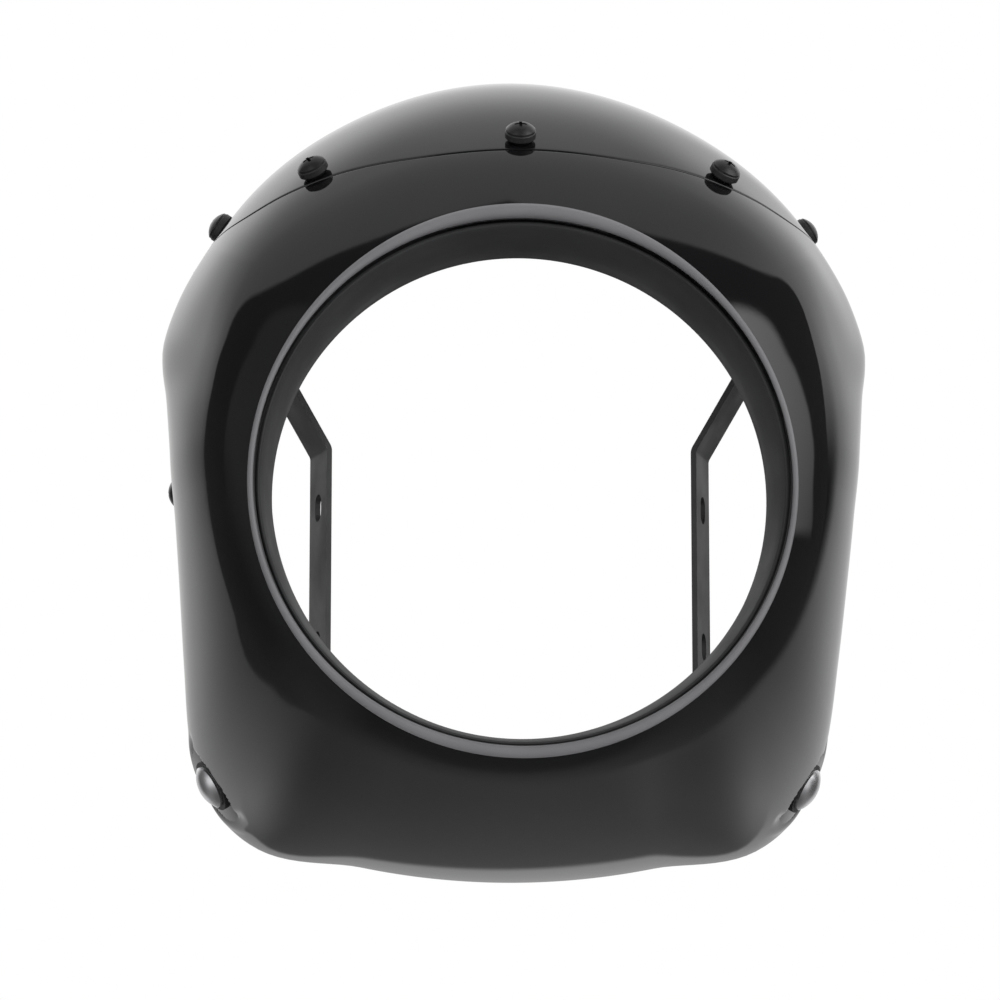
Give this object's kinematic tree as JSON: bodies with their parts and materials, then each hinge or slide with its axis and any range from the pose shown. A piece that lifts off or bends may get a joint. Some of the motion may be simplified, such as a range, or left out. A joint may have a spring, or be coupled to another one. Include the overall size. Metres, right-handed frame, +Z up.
{
  "type": "headlight cowl",
  "caption": "Gloss black motorcycle headlight cowl with a round lamp opening, a screwed-on wrap-over windscreen and steel side brackets.",
  "frame": {"origin": "centre of the round lamp opening, on the plane of the front lip", "axes": "+Z up, front towards -Y, +X to the right as seen from the front"},
  "size_m": [0.25, 0.158, 0.2915],
  "materials": {
    "shell_black": "high gloss",
    "screen_black": "high gloss",
    "black_screw": "black oxide, satin",
    "collar_rubber": "matt",
    "zinc_steel": "zinc plated",
    "bracket_black": "black powder coat",
    "bolt_chrome": "polished"
  },
  "bodies": {
    "root": {"cowl_body": "shell_black", "windscreen": "screen_black", "centre_screw": "black_screw", "left_seam_screws": "black_screw", "right_seam_screws": "black_screw", "centre_collar": "collar_rubber", "left_seam_collars": "collar_rubber", "right_seam_collars": "collar_rubber", "centre_screw_washer": "zinc_steel", "left_seam_washers": "zinc_steel", "right_seam_washers": "zinc_steel", "centre_screw_nut": "zinc_steel", "left_seam_nuts": "zinc_steel", "right_seam_nuts": "zinc_steel", "left_bracket": "bracket_black", "right_bracket": "bracket_black", "left_corner_bolt": "bolt_chrome", "right_corner_bolt": "bolt_chrome", "left_rubber_washer": "collar_rubber", "right_rubber_washer": "collar_rubber", "left_corner_washer": "zinc_steel", "right_corner_washer": "zinc_steel", "left_corner_nut": "zinc_steel", "right_corner_nut": "zinc_steel"}
  },
  "joints": []
}
